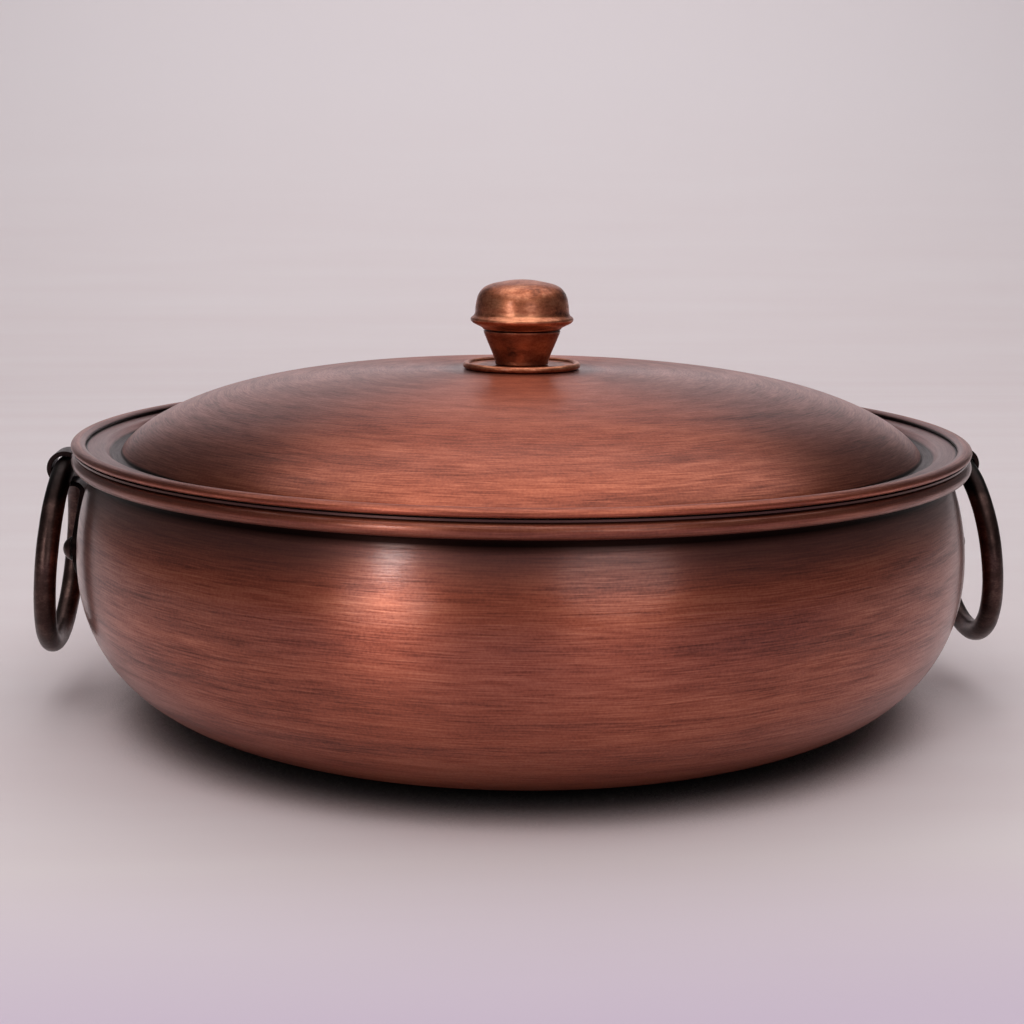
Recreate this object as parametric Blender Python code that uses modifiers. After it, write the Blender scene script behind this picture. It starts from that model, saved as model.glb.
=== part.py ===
"""Covered chafing dish: water bowl, food pan, lid with a knob, and two hinged ring handles.

Everything is built in metres with +Z up. The base stands on z = 0 and the dish's axis is Z. The ring
handles are on -X and +X and the front faces -Y. Sizes below are in millimetres, and mm() turns them
into metres where the shapes are made.
"""

import math

import bmesh
import bpy
from mathutils import Euler, Vector

# Sizes that stand by themselves, in millimetres
GAP = 0.3
BOWL_SHEET = 1.0
PAN_SHEET = 0.6
LID_SHEET = 0.7

BASE_RADIUS = 84.0
NECK_RADIUS = 143.6
NECK_HEIGHT = 82.0
BELLY_BULGE = 6.0
BELLY_HEIGHT = 52.5
LOWER_WALL_OUT_POWER = 0.73
LOWER_WALL_DOWN_POWER = 0.945

BEAD_RADIUS = 2.35
BEAD_REACH = 4.05
BEAD_RISE = 3.7
BOWL_ROLL_END_ANGLE = -122.0
LID_BEAD_HALF_HEIGHT = 1.35
LID_ROLL_END_ANGLE = 190.0
LID_WIRE_HALF_WIDTH = 1.1

PAN_DEPTH = 48.0
PAN_ROOM = 1.8
PAN_BASE_TAPER = 1.6
PAN_CORNER_RADIUS = 11.0
PAN_LIP_RADIUS = 2.0
FLANGE_INSET = 1.0

SEAT_ROOM = 0.8
GROOVE_DEPTH = 2.6
GROOVE_WIDTH = 3.0
GROOVE_SLOPE = 2.2
GROOVE_FILLET = 0.6
LEDGE_FLAT = 2.5
DOME_HEIGHT = 25.8
DOME_POWER = 3.43
DOME_SHOULDER_POWER = 0.72

PLATE_RADIUS = 20.0
PLATE_SHEET = 0.8
PLATE_LIFT = 0.4
PLATE_EDGE_RADIUS = 1.1
PLATE_EDGE_RISE = 0.05
STEM_FOOT_RADIUS = 8.9
STEM_TOP_RADIUS = 13.0
STEM_HEIGHT = 11.5
CAP_RADIUS = 16.0
CAP_LIP = 1.5
CAP_HEIGHT = 16.8
SCREW_RADIUS = 2.0
SCREW_CHAMFER = 0.4
SCREW_REACH = 8.7
SCREW_TIP_ROOM = 2.0
SCREW_HEAD_RADIUS = 4.0
SCREW_HEAD_HEIGHT = 2.6
WASHER_RADIUS = 6.0
WASHER_SHEET = 1.0

STRAP_SHEET = 1.6
STRAP_HALF_WIDTH = 5.5
STRAP_BEND_RADIUS = 3.0
LEAF_HALF_WIDTH = 15.0
LEAF_TIP_HALF_WIDTH = 1.8
LEAF_LENGTH = 25.1
LEAF_DROP = 15.7
EYE_DROP = 5.7
EYE_ROOM = 0.05
EYE_PLAY = 0.7
EYE_END_ANGLE = 118.0

RING_RADIUS = 30.2
RING_ROD_RADIUS = 3.6
LEFT_RING_LEAN_ANGLE = 5.6
RIGHT_RING_LEAN_ANGLE = 7.0

RIVET_DROP = 12.6
RIVET_SHANK_RADIUS = 2.0
RIVET_HEAD_RADIUS = 4.0
RIVET_HEAD_HEIGHT = 2.8
RIVET_SEAT_ROOM = 0.06
RIVET_TAIL_RADIUS = 3.0
RIVET_TAIL_HEIGHT = 1.0
BURR_RADIUS = 3.8
BURR_SHEET = 0.8

# Counts
BIG_STEPS = 48
KNOB_STEPS = 24
SMALL_STEPS = 12
CURL_STEPS = 8
RING_STEPS = 36
ROD_STEPS = 8
WIRE_STEPS = 6
LEAF_ROWS = 9
STRAP_COLUMNS = 6

# Sizes that follow from the ones above
BELLY_RADIUS = NECK_RADIUS + BELLY_BULGE
BEAD_CENTRE = NECK_RADIUS + BEAD_REACH
RIM_RADIUS = BEAD_CENTRE + BEAD_RADIUS
BOWL_BEAD_HEIGHT = NECK_HEIGHT + BEAD_RISE
PAN_WALL_RADIUS = NECK_RADIUS - BOWL_SHEET - PAN_ROOM - PAN_SHEET / 2
FLANGE_LOW = BOWL_BEAD_HEIGHT + BEAD_RADIUS + GAP
FLANGE_TOP = FLANGE_LOW + PAN_SHEET
LID_BEAD_HEIGHT = FLANGE_TOP + GAP + LID_BEAD_HALF_HEIGHT
LEDGE_TOP = FLANGE_TOP + GAP + LID_SHEET
LEDGE_START = PAN_WALL_RADIUS - PAN_SHEET / 2 - SEAT_ROOM
GROOVE_TOP = LEDGE_TOP - GROOVE_DEPTH
DOME_RADIUS = LEDGE_START - GROOVE_SLOPE - GROOVE_WIDTH
DOME_TOP = GROOVE_TOP + DOME_HEIGHT
PLATE_TOP = DOME_TOP + PLATE_LIFT + PLATE_SHEET
STEM_LOW = PLATE_TOP + GAP
STEM_TOP = STEM_LOW + STEM_HEIGHT
CAP_LOW = STEM_TOP + GAP
CAP_TOP = CAP_LOW + CAP_HEIGHT
SCREW_HOLE = SCREW_RADIUS + GAP
EYE_X = RIM_RADIUS + RING_ROD_RADIUS + EYE_ROOM
EYE_HEIGHT = BOWL_BEAD_HEIGHT - EYE_DROP
EYE_BORE = RING_ROD_RADIUS + EYE_PLAY
RING_SAG = RING_RADIUS - math.sqrt(RING_RADIUS**2 - STRAP_HALF_WIDTH**2)
LEAF_TOP = NECK_HEIGHT - LEAF_DROP
RIVET_HEIGHT = LEAF_TOP - RIVET_DROP
RIVET_HOLE = RIVET_SHANK_RADIUS + GAP
FACET_ANGLE = math.pi / BIG_STEPS


def mm(value):
    """Millimetres as metres."""
    return value * 0.001


# Scene helpers
def empty_scene():
    """Removes the start-up objects and makes the two collections."""
    for old in list(bpy.data.objects):
        bpy.data.objects.remove(old)
    dish = bpy.data.collections.new("chafing_dish")
    cutters = bpy.data.collections.new("cutters")
    bpy.context.scene.collection.children.link(dish)
    bpy.context.scene.collection.children.link(cutters)
    return dish, cutters


def metal(name, colour, roughness):
    """A plain Principled metal."""
    made = bpy.data.materials.new(name)
    made.use_nodes = True
    shader = made.node_tree.nodes["Principled BSDF"]
    shader.inputs["Base Color"].default_value = (*colour, 1.0)
    shader.inputs["Roughness"].default_value = roughness
    shader.inputs["Metallic"].default_value = 1.0
    return made


def object_from(name, mesh, material, group):
    """An object in a collection, with its material if it has one."""
    made = bpy.data.objects.new(name, mesh)
    group.objects.link(made)
    if material is not None:
        mesh.materials.append(material)
    return made


def mesh_from_line(name, points, closed):
    """A chain of edges in the XZ plane, for a Screw modifier to turn."""
    mesh = bpy.data.meshes.new(name)
    places = [(mm(r), 0.0, mm(z)) for r, z in points]
    edges = [(i, i + 1) for i in range(len(points) - 1)]
    if closed:
        edges.append((len(points) - 1, 0))
    mesh.from_pydata(places, edges, [])
    return mesh


def turned(name, points, steps, material, group, closed=False):
    """A shape turned about Z from its outline."""
    made = object_from(name, mesh_from_line(name, points, closed), material, group)
    screw = made.modifiers.new("turn", "SCREW")
    screw.axis = "Z"
    screw.angle = 2 * math.pi
    screw.steps = steps
    screw.render_steps = steps
    screw.use_merge_vertices = True
    screw.merge_threshold = 0.00001
    screw.use_smooth_shade = True
    return made


def thicken(made, sheet):
    """Gives an open surface the thickness of its sheet, half to each side."""
    solid = made.modifiers.new("sheet", "SOLIDIFY")
    solid.thickness = mm(sheet)
    solid.offset = 0.0
    solid.use_even_offset = True
    solid.use_quality_normals = True
    solid.use_rim = True


def cut(made, cutter):
    """Takes a cutter's shape out of a piece."""
    hole = made.modifiers.new("hole", "BOOLEAN")
    hole.operation = "DIFFERENCE"
    hole.solver = "EXACT"
    hole.object = cutter


# Profile helpers, all in millimetres
def shifted(points, distance):
    """A line moved sideways by a distance, to the left of its own direction."""
    moved = []
    for i, (r, z) in enumerate(points):
        before = points[max(i - 1, 0)]
        after = points[min(i + 1, len(points) - 1)]
        along_r = after[0] - before[0]
        along_z = after[1] - before[1]
        length = math.hypot(along_r, along_z)
        moved.append((r - distance * along_z / length, z + distance * along_r / length))
    return moved


def arc(centre, radius, start, end, steps):
    """Points on an arc, with its angles in degrees."""
    angles = [math.radians(start + (end - start) * i / steps) for i in range(steps + 1)]
    return [(centre[0] + radius * math.cos(a), centre[1] + radius * math.sin(a)) for a in angles]


def round_curl():
    """The middle of the bowl's sheet rolled round its rim wire, its faces outside the bead's circle."""
    turn = math.radians(BOWL_ROLL_END_ANGLE - 180.0) / CURL_STEPS
    radius = BEAD_RADIUS - BOWL_SHEET / 2 / math.cos(turn / 2)
    return arc((BEAD_CENTRE, BOWL_BEAD_HEIGHT), radius, 180.0, BOWL_ROLL_END_ANGLE, CURL_STEPS)


def flat_curl():
    """The middle of the lid's sheet rolled over a flat strip, wider than it is high."""
    out = BEAD_RADIUS - LID_SHEET / 2
    up = LID_BEAD_HALF_HEIGHT - LID_SHEET / 2
    circle = arc((0.0, 0.0), 1.0, -90.0, LID_ROLL_END_ANGLE, CURL_STEPS)
    return [(BEAD_CENTRE + out * r, LID_BEAD_HEIGHT + up * z) for r, z in circle]


def strip_section():
    """The outline of the flat strip inside the lid's rim, with the usual gap above and below."""
    half = LID_BEAD_HALF_HEIGHT - LID_SHEET - GAP - 0.05
    circle = arc((0.0, 0.0), 1.0, 0.0, -315.0, 7)
    return [(BEAD_CENTRE + LID_WIRE_HALF_WIDTH * r, LID_BEAD_HEIGHT + half * z) for r, z in circle]


# Water bowl
def bowl_outer_radius(height):
    """The bowl's outside radius at a height, above or below its belly."""
    if height >= BELLY_HEIGHT:
        share = (height - BELLY_HEIGHT) / (NECK_HEIGHT - BELLY_HEIGHT)
        return BELLY_RADIUS - BELLY_BULGE * share**2
    sine = (1 - height / BELLY_HEIGHT) ** (1 / LOWER_WALL_DOWN_POWER)
    out = max(1 - sine**2, 0.0) ** (LOWER_WALL_OUT_POWER / 2)
    return BASE_RADIUS + (BELLY_RADIUS - BASE_RADIUS) * out


def lower_wall(steps):
    """The outside of the bowl from the edge of its base up to the belly."""
    points = []
    for i in range(steps + 1):
        sine = math.sin(math.radians(90.0) * (1 - i / steps))
        height = BELLY_HEIGHT * (1 - sine**LOWER_WALL_DOWN_POWER)
        points.append((bowl_outer_radius(height), height))
    return points


def upper_wall(steps):
    """The outside of the bowl from above the belly up to the neck."""
    rise = (NECK_HEIGHT - BELLY_HEIGHT) / steps
    heights = [BELLY_HEIGHT + rise * i for i in range(1, steps + 1)]
    return [(bowl_outer_radius(height), height) for height in heights]


def bowl_profile():
    """The middle of the bowl's sheet, from its axis out and up, and over its rim wire."""
    outside = [(BASE_RADIUS / 2, 0.0)] + lower_wall(9) + upper_wall(4)
    wall = shifted(outside, BOWL_SHEET / 2)
    flare = [(NECK_RADIUS + BOWL_SHEET / 2, NECK_HEIGHT + BEAD_RISE * 0.46)]
    return [(0.0, BOWL_SHEET / 2)] + wall + flare + round_curl()


def make_bowl(group, cutters, material, wire_material):
    bowl = turned("bowl", bowl_profile(), BIG_STEPS, material, group)
    thicken(bowl, BOWL_SHEET)
    for side, row in rivet_rows():
        cut(bowl, rivet_cutter("bowl_hole", side, row, cutters))
    wire = ring("bowl_rim_wire", BEAD_CENTRE, BEAD_RADIUS - BOWL_SHEET * 1.1 - GAP, BIG_STEPS, WIRE_STEPS)
    wire.location.z = mm(BOWL_BEAD_HEIGHT)
    place_in(wire, group, wire_material)
    wire.parent = bowl
    return bowl


# Food pan
def pan_profile():
    """The middle of the pan's sheet, from the edge of its flange in, down and to the axis."""
    middle = FLANGE_LOW + PAN_SHEET / 2
    floor = middle - PAN_DEPTH
    lip = (PAN_WALL_RADIUS + PAN_LIP_RADIUS, middle - PAN_LIP_RADIUS)
    corner = (PAN_WALL_RADIUS - PAN_BASE_TAPER - PAN_CORNER_RADIUS, floor + PAN_CORNER_RADIUS)
    points = [(RIM_RADIUS - FLANGE_INSET, middle)]
    points += arc(lip, PAN_LIP_RADIUS, 90.0, 180.0, 3)
    points += arc(corner, PAN_CORNER_RADIUS, 0.0, -90.0, 4)
    points.append((0.0, floor))
    return points


def make_pan(group, material):
    pan = turned("food_pan", pan_profile(), BIG_STEPS, material, group)
    thicken(pan, PAN_SHEET)
    return pan


# Lid
def dome_point(share):
    """A point on the top of the dome, at a share of its radius."""
    swell = max(1 - share**DOME_POWER, 0.0) ** DOME_SHOULDER_POWER
    return (DOME_RADIUS * share, GROOVE_TOP + DOME_HEIGHT * swell)


def lid_profile():
    """The middle of the lid's sheet, from the knob's hole out over the dome to the rolled rim."""
    shares = (0.25, 0.46, 0.61, 0.73, 0.83, 0.905, 0.957, 0.987)
    groove_end = DOME_RADIUS + GROOVE_WIDTH
    top = [dome_point(SCREW_HOLE / DOME_RADIUS)]
    top += [dome_point(share) for share in shares]
    top.append((DOME_RADIUS, GROOVE_TOP + GROOVE_FILLET))
    top.append((DOME_RADIUS + GROOVE_FILLET, GROOVE_TOP))
    top.append((groove_end, GROOVE_TOP))
    top.append((groove_end + GROOVE_SLOPE, LEDGE_TOP))
    top.append((groove_end + GROOVE_SLOPE + LEDGE_FLAT, LEDGE_TOP))
    middle = shifted(top, -LID_SHEET / 2)
    return middle + flat_curl()


def make_lid(group, material, wire_material):
    lid = turned("lid", lid_profile(), BIG_STEPS, material, group)
    thicken(lid, LID_SHEET)
    wire = turned("lid_rim_wire", strip_section(), BIG_STEPS, wire_material, group, closed=True)
    wire.parent = lid
    return lid


# Knob
def plate_profile():
    """The pressed plate under the knob, a flat disc with a round edge."""
    edge = (PLATE_RADIUS - PLATE_EDGE_RADIUS, PLATE_TOP + PLATE_EDGE_RISE)
    low = PLATE_TOP - PLATE_SHEET
    points = [(SCREW_HOLE, PLATE_TOP)]
    points += arc(edge, PLATE_EDGE_RADIUS, 170.0, -127.5, 7)
    points.append((edge[0] - PLATE_EDGE_RADIUS * 1.3, low))
    points.append((SCREW_HOLE, low))
    return points


def stem_profile():
    """The stem, wider at the top, with a hole for the screw."""
    shares = ((1.0, 1.0), (0.775, 0.72), (0.025, 0.12), (0.0, 0.0))
    widening = STEM_TOP_RADIUS - STEM_FOOT_RADIUS
    outside = [(STEM_FOOT_RADIUS + widening * out, STEM_LOW + STEM_HEIGHT * up) for out, up in shares]
    return [(SCREW_HOLE, STEM_TOP)] + outside + [(SCREW_HOLE, STEM_LOW)]


def cap_profile():
    """The knob's cap from the middle of its top, down over its lip and up into its blind hole."""
    crown = ((0.0, 0.0), (0.26, 0.018), (0.48, 0.058), (0.68, 0.105), (0.83, 0.17), (0.945, 0.32), (0.99, 0.53))
    blind = CAP_LOW + SCREW_REACH + SCREW_TIP_ROOM
    points = [(CAP_RADIUS * out, CAP_TOP - CAP_HEIGHT * down) for out, down in crown]
    lip = CAP_RADIUS + CAP_LIP
    points += [
        (CAP_RADIUS, CAP_TOP - CAP_HEIGHT * 0.7),
        (lip - CAP_LIP * 0.25, CAP_TOP - CAP_HEIGHT * 0.765),
        (lip, CAP_TOP - CAP_HEIGHT * 0.815),
        (lip - CAP_LIP * 0.45, CAP_TOP - CAP_HEIGHT * 0.875),
        (STEM_TOP_RADIUS + 5 * GAP, CAP_TOP - CAP_HEIGHT * 0.925),
        (STEM_TOP_RADIUS + GAP, CAP_LOW),
        (SCREW_HOLE, CAP_LOW),
        (SCREW_HOLE, blind),
        (0.0, blind),
    ]
    return points


def screw_profile(washer_low):
    """The screw from its tip inside the cap down to the middle of its head."""
    head_top = washer_low - GAP
    tip = CAP_LOW + SCREW_REACH
    return [
        (0.0, tip),
        (SCREW_RADIUS - SCREW_CHAMFER, tip),
        (SCREW_RADIUS, tip - SCREW_CHAMFER),
        (SCREW_RADIUS, head_top),
        (SCREW_HEAD_RADIUS, head_top),
        (SCREW_HEAD_RADIUS * 0.95, head_top - SCREW_HEAD_HEIGHT * 0.55),
        (SCREW_HEAD_RADIUS * 0.65, head_top - SCREW_HEAD_HEIGHT),
        (0.0, head_top - SCREW_HEAD_HEIGHT),
    ]


def washer_profile(hole, outside, top, sheet):
    """A flat washer's section."""
    return [(hole, top), (outside, top), (outside, top - sheet), (hole, top - sheet)]


def make_knob(group, lid, knob_material, screw_material):
    washer_top = DOME_TOP - LID_SHEET - GAP
    washer_low = washer_top - WASHER_SHEET
    pieces = [
        turned("knob_plate", plate_profile(), KNOB_STEPS, knob_material, group, closed=True),
        turned("knob_stem", stem_profile(), KNOB_STEPS, knob_material, group, closed=True),
        turned("knob_cap", cap_profile(), KNOB_STEPS, knob_material, group),
        turned("knob_screw", screw_profile(washer_low), SMALL_STEPS, screw_material, group),
    ]
    section = washer_profile(SCREW_HOLE, WASHER_RADIUS, washer_top, WASHER_SHEET)
    pieces.append(turned("knob_washer", section, SMALL_STEPS, screw_material, group, closed=True))
    for piece in pieces:
        piece.parent = lid


# Rings and wires
def ring(name, radius, rod, around, across):
    """A round ring lying flat about Z."""
    bpy.ops.mesh.primitive_torus_add(
        major_segments=around,
        minor_segments=across,
        major_radius=mm(radius),
        minor_radius=mm(rod),
    )
    made = bpy.context.active_object
    made.name = name
    return made


def place_in(made, group, material):
    """Moves an object into a collection and gives it its material."""
    for old in list(made.users_collection):
        old.objects.unlink(made)
    group.objects.link(made)
    made.data.materials.append(material)


def make_ring_handle(name, side, lean, group, material):
    """A ring hung in the eye of its bracket, leaning out from the bowl by an angle in degrees."""
    hinge = bpy.data.objects.new(name + "_hinge", None)
    group.objects.link(hinge)
    hinge.location = (side * mm(EYE_X), 0.0, mm(EYE_HEIGHT))
    hinge.rotation_euler = (0.0, -side * math.radians(lean), 0.0)
    made = ring(name, RING_RADIUS, RING_ROD_RADIUS, RING_STEPS, ROD_STEPS)
    place_in(made, group, material)
    made.parent = hinge
    made.location = (0.0, 0.0, mm(RING_SAG / 2 - RING_RADIUS))
    made.rotation_euler = (0.0, math.radians(90.0), 0.0)
    return made


# Handle brackets
def leaf_half_width(share):
    """Half the leaf's width, from its tip at a share of 0 to the strap at 1."""
    widest = 0.54
    if share < widest:
        swell = math.sin(math.radians(90.0) * share / widest)
        return LEAF_TIP_HALF_WIDTH + (LEAF_HALF_WIDTH - LEAF_TIP_HALF_WIDTH) * swell
    fall = (share - widest) / (1 - widest)
    swell = 0.5 + 0.5 * math.cos(math.pi * fall)
    return STRAP_HALF_WIDTH + (LEAF_HALF_WIDTH - STRAP_HALF_WIDTH) * swell


def leaf_rows():
    """Rows of the leaf against the bowl, as the radius and height of its middle and its half width."""
    stand_off = GAP + STRAP_SHEET / 2
    rows = []
    for i in range(LEAF_ROWS + 1):
        share = i / LEAF_ROWS
        height = LEAF_TOP - LEAF_LENGTH * (1 - share)
        rows.append((bowl_outer_radius(height) + stand_off, height, leaf_half_width(share)))
    return rows


def strap_rows():
    """Rows of the strap from the leaf outwards and round the eye, as x and z of its middle."""
    bend_z = EYE_HEIGHT - EYE_BORE - STRAP_SHEET / 2 - STRAP_BEND_RADIUS
    bend_x = bowl_outer_radius(bend_z) + GAP + STRAP_SHEET / 2 + STRAP_BEND_RADIUS
    bend = arc((bend_x, bend_z), STRAP_BEND_RADIUS, 170.0, 90.0, 3)
    return bend + arc((EYE_X, EYE_HEIGHT), EYE_BORE + STRAP_SHEET / 2, -90.0, EYE_END_ANGLE, 8)


def bracket_mesh(name, side):
    """The strap's middle surface, bent round the bowl where it lies against it."""
    sweeps = [2 * j / STRAP_COLUMNS - 1 for j in range(STRAP_COLUMNS + 1)]
    points = []
    for radius, z, half in leaf_rows():
        points += [(math.sqrt(radius**2 - (half * s) ** 2), half * s, z) for s in sweeps]
    for x, z in strap_rows():
        points += [(x, STRAP_HALF_WIDTH * s, z) for s in sweeps]
    faces = []
    in_row = len(sweeps)
    for first in range(0, len(points) - in_row, in_row):
        for a in range(first, first + STRAP_COLUMNS):
            corners = (a, a + 1, a + in_row + 1, a + in_row)
            faces.append(corners if side < 0 else corners[::-1])
    mesh = bpy.data.meshes.new(name)
    mesh.from_pydata([(side * mm(x), mm(y), mm(z)) for x, y, z in points], [], faces)
    return mesh


def make_bracket(name, side, group, cutters, material):
    made = object_from(name, bracket_mesh(name, side), material, group)
    thicken(made, STRAP_SHEET)
    for row in (-1, 1):
        cut(made, rivet_cutter("bracket_hole", side, row, cutters))
    return made


# Rivets and their burrs
def rivet_rows():
    """The four rivets as a side, -1 or 1 along X, and a row, -1 in front or 1 behind."""
    return [(-1, -1), (-1, 1), (1, -1), (1, 1)]


def rivet_place(side, row):
    """Where a rivet crosses the bowl's outside, and the turn that points its head outwards."""
    rise = 0.5
    lean = (bowl_outer_radius(RIVET_HEIGHT - rise) - bowl_outer_radius(RIVET_HEIGHT + rise)) / (2 * rise)
    angle = row * FACET_ANGLE if side > 0 else math.pi - row * FACET_ANGLE
    out = bowl_outer_radius(RIVET_HEIGHT) * math.cos(FACET_ANGLE)
    place = Vector((mm(out * math.cos(angle)), mm(out * math.sin(angle)), mm(RIVET_HEIGHT)))
    return place, Euler((0.0, math.radians(90.0) - math.atan(lean), angle))


def rivet_cutter(name, side, row, cutters):
    """A round cutter along a rivet's axis, through the bowl and the strap."""
    mesh = bpy.data.meshes.new(name)
    drill = bmesh.new()
    bmesh.ops.create_cone(
        drill,
        cap_ends=True,
        segments=SMALL_STEPS,
        radius1=mm(RIVET_HOLE),
        radius2=mm(RIVET_HOLE),
        depth=mm(4 * (BOWL_SHEET + STRAP_SHEET)),
    )
    drill.to_mesh(mesh)
    drill.free()
    made = object_from(name, mesh, None, cutters)
    made.location, made.rotation_euler = rivet_place(side, row)
    made.hide_render = True
    made.display_type = "WIRE"
    return made


def rivet_profile():
    """A rivet from the middle of its head, down its shank to its peened tail inside the bowl."""
    facet_depth = BELLY_RADIUS * (1 - math.cos(FACET_ANGLE))
    seat = facet_depth + 2 * GAP + STRAP_SHEET + RIVET_SEAT_ROOM
    tail_top = -BOWL_SHEET - 2 * GAP - BURR_SHEET
    tail_low = tail_top - RIVET_TAIL_HEIGHT
    dome = ((0.0, 1.0), (0.45, 0.93), (0.8, 0.66), (1.0, 0.14), (1.0, 0.0))
    head = [(RIVET_HEAD_RADIUS * out, seat + RIVET_HEAD_HEIGHT * up) for out, up in dome]
    return head + [
        (RIVET_SHANK_RADIUS, seat),
        (RIVET_SHANK_RADIUS, tail_top),
        (RIVET_TAIL_RADIUS, tail_top),
        (RIVET_TAIL_RADIUS * 0.75, tail_low),
        (0.0, tail_low),
    ]


def make_rivet(names, side, row, group, rivet_material, burr_material):
    place, turn = rivet_place(side, row)
    rivet = turned(names[0], rivet_profile(), SMALL_STEPS, rivet_material, group)
    section = washer_profile(RIVET_HOLE, BURR_RADIUS, -BOWL_SHEET - GAP, BURR_SHEET)
    burr = turned(names[1], section, SMALL_STEPS, burr_material, group, closed=True)
    for piece in (rivet, burr):
        piece.location = place
        piece.rotation_euler = turn
    return [rivet, burr]


# The whole dish
def finish_shading(group):
    """Smooth faces, with the corners of the sheets kept sharp."""
    for made in group.objects:
        if made.type == "MESH":
            made.data.shade_smooth()
            if made.data.polygons:
                made.data.set_sharp_from_angle(angle=math.radians(35.0))


def build():
    dish, cutters = empty_scene()
    copper = metal("copper", (0.42, 0.17, 0.12), 0.30)
    tin = metal("tinned_steel", (0.62, 0.61, 0.59), 0.28)
    wire = metal("rim_wire", (0.35, 0.34, 0.33), 0.45)
    dark = metal("dark_bronze", (0.075, 0.035, 0.026), 0.36)
    knob = metal("knob_copper", (0.45, 0.19, 0.11), 0.34)
    steel = metal("screw_steel", (0.55, 0.55, 0.55), 0.35)
    bowl = make_bowl(dish, cutters, copper, wire)
    make_pan(dish, tin)
    lid = make_lid(dish, copper, wire)
    make_knob(dish, lid, knob, steel)
    on_bowl = []
    for side, word, lean in ((-1, "left", LEFT_RING_LEAN_ANGLE), (1, "right", RIGHT_RING_LEAN_ANGLE)):
        make_ring_handle(word + "_ring", side, lean, dish, dark)
        on_bowl.append(make_bracket(word + "_bracket", side, dish, cutters, dark))
        for row, place in ((-1, "front"), (1, "back")):
            names = (f"{word}_rivet_{place}", f"{word}_burr_{place}")
            on_bowl += make_rivet(names, side, row, dish, dark, steel)
    for piece in on_bowl:
        piece.parent = bowl
    finish_shading(dish)


build()
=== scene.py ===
# %% [markdown]
# # A covered copper dish
#
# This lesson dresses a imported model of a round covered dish: a spun copper bowl, a pan hung inside it,
# a domed lid with a cast knob, and two forged ring handles. Each step says what the real piece is, how
# it could be made in Blender, and why this way was chosen. The scene is in metres. The sizes of the
# pieces are written in millimetres and multiplied by MM.

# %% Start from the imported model
import math

import bpy
from mathutils import Matrix, Vector


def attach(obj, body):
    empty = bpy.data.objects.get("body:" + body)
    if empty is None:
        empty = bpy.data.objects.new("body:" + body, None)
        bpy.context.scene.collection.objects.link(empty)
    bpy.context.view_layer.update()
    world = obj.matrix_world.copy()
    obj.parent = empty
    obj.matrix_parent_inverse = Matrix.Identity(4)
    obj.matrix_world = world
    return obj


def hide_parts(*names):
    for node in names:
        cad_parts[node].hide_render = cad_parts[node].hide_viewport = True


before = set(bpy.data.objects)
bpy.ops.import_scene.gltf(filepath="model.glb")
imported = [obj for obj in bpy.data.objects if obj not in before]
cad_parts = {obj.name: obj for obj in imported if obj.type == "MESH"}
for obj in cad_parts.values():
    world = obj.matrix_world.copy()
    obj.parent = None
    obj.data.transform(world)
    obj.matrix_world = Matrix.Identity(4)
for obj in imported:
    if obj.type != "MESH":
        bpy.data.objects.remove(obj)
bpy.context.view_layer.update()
print("packed nodes:", len(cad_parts))


# %% [markdown]
# ## Camera
#
# The photograph was taken from a little above the rim, nearly square to the front, with the left handle
# a touch nearer. The camera's place, its heading, its dip and a slight roll came from fitting the dish's
# outlines. Typing those four in keeps the view easy to read and to change.

# %% Camera
CAMERA_PLACE = (-0.0474, -0.5928, 0.1744)
CAMERA_HEADING = -4.29
CAMERA_DIP = 10.585
CAMERA_ROLL = 0.425


def placed(name, data):
    """An object with some data, put in the scene."""
    made = bpy.data.objects.new(name, data)
    bpy.context.scene.collection.objects.link(made)
    return made


camera_data = bpy.data.cameras.new("photo_camera")
camera_data.sensor_width = 36.0
camera_data.lens = 61.46
camera = placed("photo_camera", camera_data)
heading = Matrix.Rotation(math.radians(CAMERA_HEADING), 4, "Z")
pitch = Matrix.Rotation(math.radians(90.0 - CAMERA_DIP), 4, "X")
roll = Matrix.Rotation(math.radians(CAMERA_ROLL), 4, "Z")
camera.matrix_world = Matrix.Translation(CAMERA_PLACE) @ heading @ pitch @ roll
bpy.context.scene.camera = camera
print("camera height", round(camera.location.z, 3))


# %% [markdown]
# ## Small helpers for node trees
#
# A procedural material is a tree of nodes. Adding them one call at a time hides what the material does,
# so a few helpers do the typing: one adds a node with its settings and its inputs, one makes a group with
# named sockets, and short ones stand for the steps that come back most. An input may be a number, a
# colour or another node's output.

# %% Node helpers
def add_node(tree, kind, inputs=None, **settings):
    """Adds a node, sets its settings, and fills its inputs with values or with links."""
    made = tree.nodes.new(kind)
    for name, value in settings.items():
        setattr(made, name, value)
    for name, value in (inputs or {}).items():
        if isinstance(value, bpy.types.NodeSocket):
            tree.links.new(value, made.inputs[name])
        else:
            made.inputs[name].default_value = value
    return made


def math_node(tree, operation, first, second=0.0):
    """One arithmetic step."""
    return add_node(tree, "ShaderNodeMath", {0: first, 1: second}, operation=operation).outputs[0]


def mix_colours(tree, factor, first, second, blend="MIX"):
    """Mixes two colours. The node's sockets for colours are 6 and 7, and its result is 2."""
    inputs = {0: factor, 6: first, 7: second}
    return add_node(tree, "ShaderNodeMix", inputs, data_type="RGBA", blend_type=blend).outputs[2]


def ranged(tree, value, low, high, to_low=0.0, to_high=1.0):
    """Stretches a value from one range to another and clamps it."""
    inputs = {"Value": value, "From Min": low, "From Max": high, "To Min": to_low, "To Max": to_high}
    return add_node(tree, "ShaderNodeMapRange", inputs).outputs["Result"]


def noise_node(tree, dimensions="3D", **inputs):
    """A noise texture's value, with its inputs given by name."""
    return add_node(tree, "ShaderNodeTexNoise", inputs, noise_dimensions=dimensions).outputs[0]


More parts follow.
